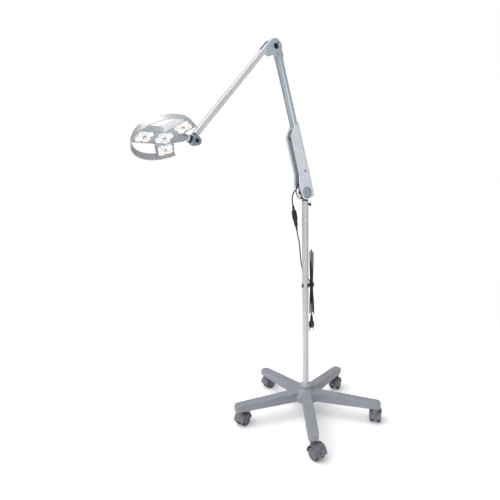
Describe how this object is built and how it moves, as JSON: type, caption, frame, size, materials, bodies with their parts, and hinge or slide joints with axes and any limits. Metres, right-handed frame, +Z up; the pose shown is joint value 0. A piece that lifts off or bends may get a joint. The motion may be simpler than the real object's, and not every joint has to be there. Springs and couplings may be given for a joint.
{
  "type": "surgical light",
  "caption": "Mobile examination light: LED head with handle ring on two jointed arms, carried by a pole on a star base with twin-wheel castors",
  "frame": {"origin": "On the floor, on the axis of the pole", "axes": "+Z up along the pole. The hinges of the arms run along Y and the arms reach toward -X."},
  "size_m": [0.9882, 0.6006, 1.4824],
  "materials": {
    "arm": "white powder coat",
    "base_cap": "smooth",
    "board": "solder mask",
    "bolt": "plain",
    "bracket": "satin",
    "button": "plain",
    "casing": "smooth white",
    "casing_insert": "plain",
    "castor_brake": "moulded",
    "castor_hood": "moulded",
    "castor_wheel": "soft tread on a plastic core",
    "cord_dark": "PVC sheath",
    "cord_grey": "PVC sheath",
    "cover": "clear cover",
    "driver_board": "circuit board",
    "gland": "plain",
    "housing": "silver grey",
    "hub_bolt": "zinc plated",
    "knob": "smooth",
    "knuckle": "die cast, satin",
    "lens_cool": "clear optic, cool LED",
    "lens_warm": "clear optic, warm LED",
    "lower_tube": "satin anodised",
    "neck": "satin",
    "pivot_stem": "satin",
    "pole": "satin powder coat",
    "pole_bush": "plain",
    "ring": "satin silver",
    "star_base": "moulded, fine texture",
    "thumbscrew": "knurled",
    "trim": "plain",
    "wrist_block": "plain"
  },
  "bodies": {
    "stand": {"star_base": "star_base", "base_cap": "base_cap", "hub_bolt": "hub_bolt", "pole": "pole", "pole_bush": "pole_bush", "mains_lead": "cord_grey", "cord_hank": "cord_dark", "hank_tie": "gland", "plug": "cord_dark"},
    "pole_screw": {"thumbscrew": "thumbscrew"},
    "stem": {"pivot_stem": "pivot_stem", "coupling": "cord_dark"},
    "lower_arm": {"casing_left": "casing", "casing_right": "casing", "casing_insert": "casing_insert", "lower_tube": "lower_tube", "driver_board": "driver_board", "pivot_bolt": "bolt", "cable_gland": "gland", "link_cable": "cord_grey", "tube_knuckle": "knuckle", "elbow_bolt": "bolt", "lead_upper": "cord_dark"},
    "knob": {"friction_knob": "knob"},
    "switch": {"power_button": "button"},
    "upper_arm": {"elbow_drum": "knuckle", "upper_arm": "arm", "slot_trim": "trim", "wrist_knuckle": "knuckle"},
    "wrist": {"wrist_block": "wrist_block", "wrist_bolt": "bolt"},
    "head": {"neck": "neck", "head_bracket": "bracket", "head_housing": "housing", "ring_handle": "ring", "led_board": "board", "lenses_warm": "lens_warm", "lenses_cool": "lens_cool", "lens_cover": "cover"},
    "castor1": {"castor1_hood": "castor_hood"},
    "wheel1a": {"castor1_wheel_a": "castor_wheel"},
    "wheel1b": {"castor1_wheel_b": "castor_wheel"},
    "pedal1": {"castor1_brake": "castor_brake"},
    "castor2": {"castor2_hood": "castor_hood"},
    "wheel2a": {"castor2_wheel_a": "castor_wheel"},
    "wheel2b": {"castor2_wheel_b": "castor_wheel"},
    "pedal2": {"castor2_brake": "castor_brake"},
    "castor3": {"castor3_hood": "castor_hood"},
    "wheel3a": {"castor3_wheel_a": "castor_wheel"},
    "wheel3b": {"castor3_wheel_b": "castor_wheel"},
    "pedal3": {"castor3_brake": "castor_brake"},
    "castor4": {"castor4_hood": "castor_hood"},
    "wheel4a": {"castor4_wheel_a": "castor_wheel"},
    "wheel4b": {"castor4_wheel_b": "castor_wheel"},
    "pedal4": {"castor4_brake": "castor_brake"},
    "castor5": {"castor5_hood": "castor_hood"},
    "wheel5a": {"castor5_wheel_a": "castor_wheel"},
    "wheel5b": {"castor5_wheel_b": "castor_wheel"},
    "pedal5": {"castor5_brake": "castor_brake"}
  },
  "joints": [
    {"name": "arm_swivel", "type": "hinge", "parent": "stand", "child": "stem", "pos_m": [0, 0, 0.9], "axis": [0, 0, 1], "range_deg": [-160, 160], "deforming": ["mains_lead"]},
    {"name": "lower_arm_tilt", "type": "hinge", "parent": "stem", "child": "lower_arm", "pos_m": [-0.006, 0, 0.926], "axis": [0, -1, 0], "range_deg": [-15, 25], "deforming": ["lead_upper", "link_cable"]},
    {"name": "elbow_fold", "type": "hinge", "parent": "lower_arm", "child": "upper_arm", "pos_m": [-0.15598, 0, 1.4552], "axis": [0, -1, 0], "range_deg": [-90, 38]},
    {"name": "wrist_tilt", "type": "hinge", "parent": "upper_arm", "child": "wrist", "pos_m": [-0.47579, 0, 1.10126], "axis": [0, -1, 0], "range_deg": [-38, 60]},
    {"name": "head_turn", "type": "hinge", "parent": "wrist", "child": "head", "pos_m": [-0.47579, 0, 1.10126], "axis": [-0.9659, 0, 0.2588], "range_deg": [-110, 110]},
    {"name": "friction_knob_turn", "type": "hinge", "parent": "lower_arm", "child": "knob", "pos_m": [-0.006, 0, 0.926], "axis": [0, -1, 0], "range_deg": [-90, 90]},
    {"name": "thumbscrew_turn", "type": "hinge", "parent": "stand", "child": "pole_screw", "pos_m": [0, 0, 0.878], "axis": [0.766, -0.6428, 0], "range_deg": [-180, 180]},
    {"name": "power_press", "type": "slide", "parent": "lower_arm", "child": "switch", "axis": [0, 1, 0], "range_m": [0, 0.001], "stiffness_N_per_m": 400, "springref_m": -0.001},
    {"name": "castor1_swivel", "type": "hinge", "parent": "stand", "child": "castor1", "pos_m": [0.2701, 0.08776, 0.06], "axis": [0, 0, 1], "continuous": true},
    {"name": "wheel1a_spin", "type": "hinge", "parent": "castor1", "child": "wheel1a", "pos_m": [0.25436, 0.07903, 0.025], "axis": [0.4848, -0.8746, 0], "continuous": true},
    {"name": "wheel1b_spin", "type": "hinge", "parent": "castor1", "child": "wheel1b", "pos_m": [0.25436, 0.07903, 0.025], "axis": [0.4848, -0.8746, 0], "continuous": true},
    {"name": "brake1_press", "type": "hinge", "parent": "castor1", "child": "pedal1", "pos_m": [0.2305, 0.06581, 0.0441], "axis": [0.4848, -0.8746, 0], "range_deg": [0, 15]},
    {"name": "castor2_swivel", "type": "hinge", "parent": "stand", "child": "castor2", "pos_m": [0, 0.284, 0.06], "axis": [0, 0, 1], "continuous": true},
    {"name": "wheel2a_spin", "type": "hinge", "parent": "castor2", "child": "wheel2a", "pos_m": [0.01796, 0.28526, 0.025], "axis": [-0.0698, 0.9976, 0], "continuous": true},
    {"name": "wheel2b_spin", "type": "hinge", "parent": "castor2", "child": "wheel2b", "pos_m": [0.01796, 0.28526, 0.025], "axis": [-0.0698, 0.9976, 0], "continuous": true},
    {"name": "brake2_press", "type": "hinge", "parent": "castor2", "child": "pedal2", "pos_m": [0.04517, 0.28716, 0.0441], "axis": [-0.0698, 0.9976, 0], "range_deg": [0, 15]},
    {"name": "castor3_swivel", "type": "hinge", "parent": "stand", "child": "castor3", "pos_m": [-0.2701, 0.08776, 0.06], "axis": [0, 0, 1], "continuous": true},
    {"name": "wheel3a_spin", "type": "hinge", "parent": "castor3", "child": "wheel3a", "pos_m": [-0.25308, 0.09362, 0.025], "axis": [-0.3256, 0.9455, 0], "continuous": true},
    {"name": "wheel3b_spin", "type": "hinge", "parent": "castor3", "child": "wheel3b", "pos_m": [-0.25308, 0.09362, 0.025], "axis": [-0.3256, 0.9455, 0], "continuous": true},
    {"name": "brake3_press", "type": "hinge", "parent": "castor3", "child": "pedal3", "pos_m": [-0.22729, 0.1025, 0.0441], "axis": [-0.3256, 0.9455, 0], "range_deg": [0, 15]},
    {"name": "castor4_swivel", "type": "hinge", "parent": "stand", "child": "castor4", "pos_m": [-0.16693, -0.22976, 0.06], "axis": [0, 0, 1], "continuous": true},
    {"name": "wheel4a_spin", "type": "hinge", "parent": "castor4", "child": "wheel4a", "pos_m": [-0.16662, -0.24776, 0.025], "axis": [0.9998, 0.0175, 0], "continuous": true},
    {"name": "wheel4b_spin", "type": "hinge", "parent": "castor4", "child": "wheel4b", "pos_m": [-0.16662, -0.24776, 0.025], "axis": [0.9998, 0.0175, 0], "continuous": true},
    {"name": "brake4_press", "type": "hinge", "parent": "castor4", "child": "pedal4", "pos_m": [-0.16614, -0.27503, 0.0441], "axis": [0.9998, 0.0175, 0], "range_deg": [0, 15]},
    {"name": "castor5_swivel", "type": "hinge", "parent": "stand", "child": "castor5", "pos_m": [0.16693, -0.22976, 0.06], "axis": [0, 0, 1], "continuous": true},
    {"name": "wheel5a_spin", "type": "hinge", "parent": "castor5", "child": "wheel5a", "pos_m": [0.18185, -0.2197, 0.025], "axis": [-0.5592, 0.829, 0], "continuous": true},
    {"name": "wheel5b_spin", "type": "hinge", "parent": "castor5", "child": "wheel5b", "pos_m": [0.18185, -0.2197, 0.025], "axis": [-0.5592, 0.829, 0], "continuous": true},
    {"name": "brake5_press", "type": "hinge", "parent": "castor5", "child": "pedal5", "pos_m": [0.20447, -0.20444, 0.0441], "axis": [-0.5592, 0.829, 0], "range_deg": [0, 15]}
  ]
}
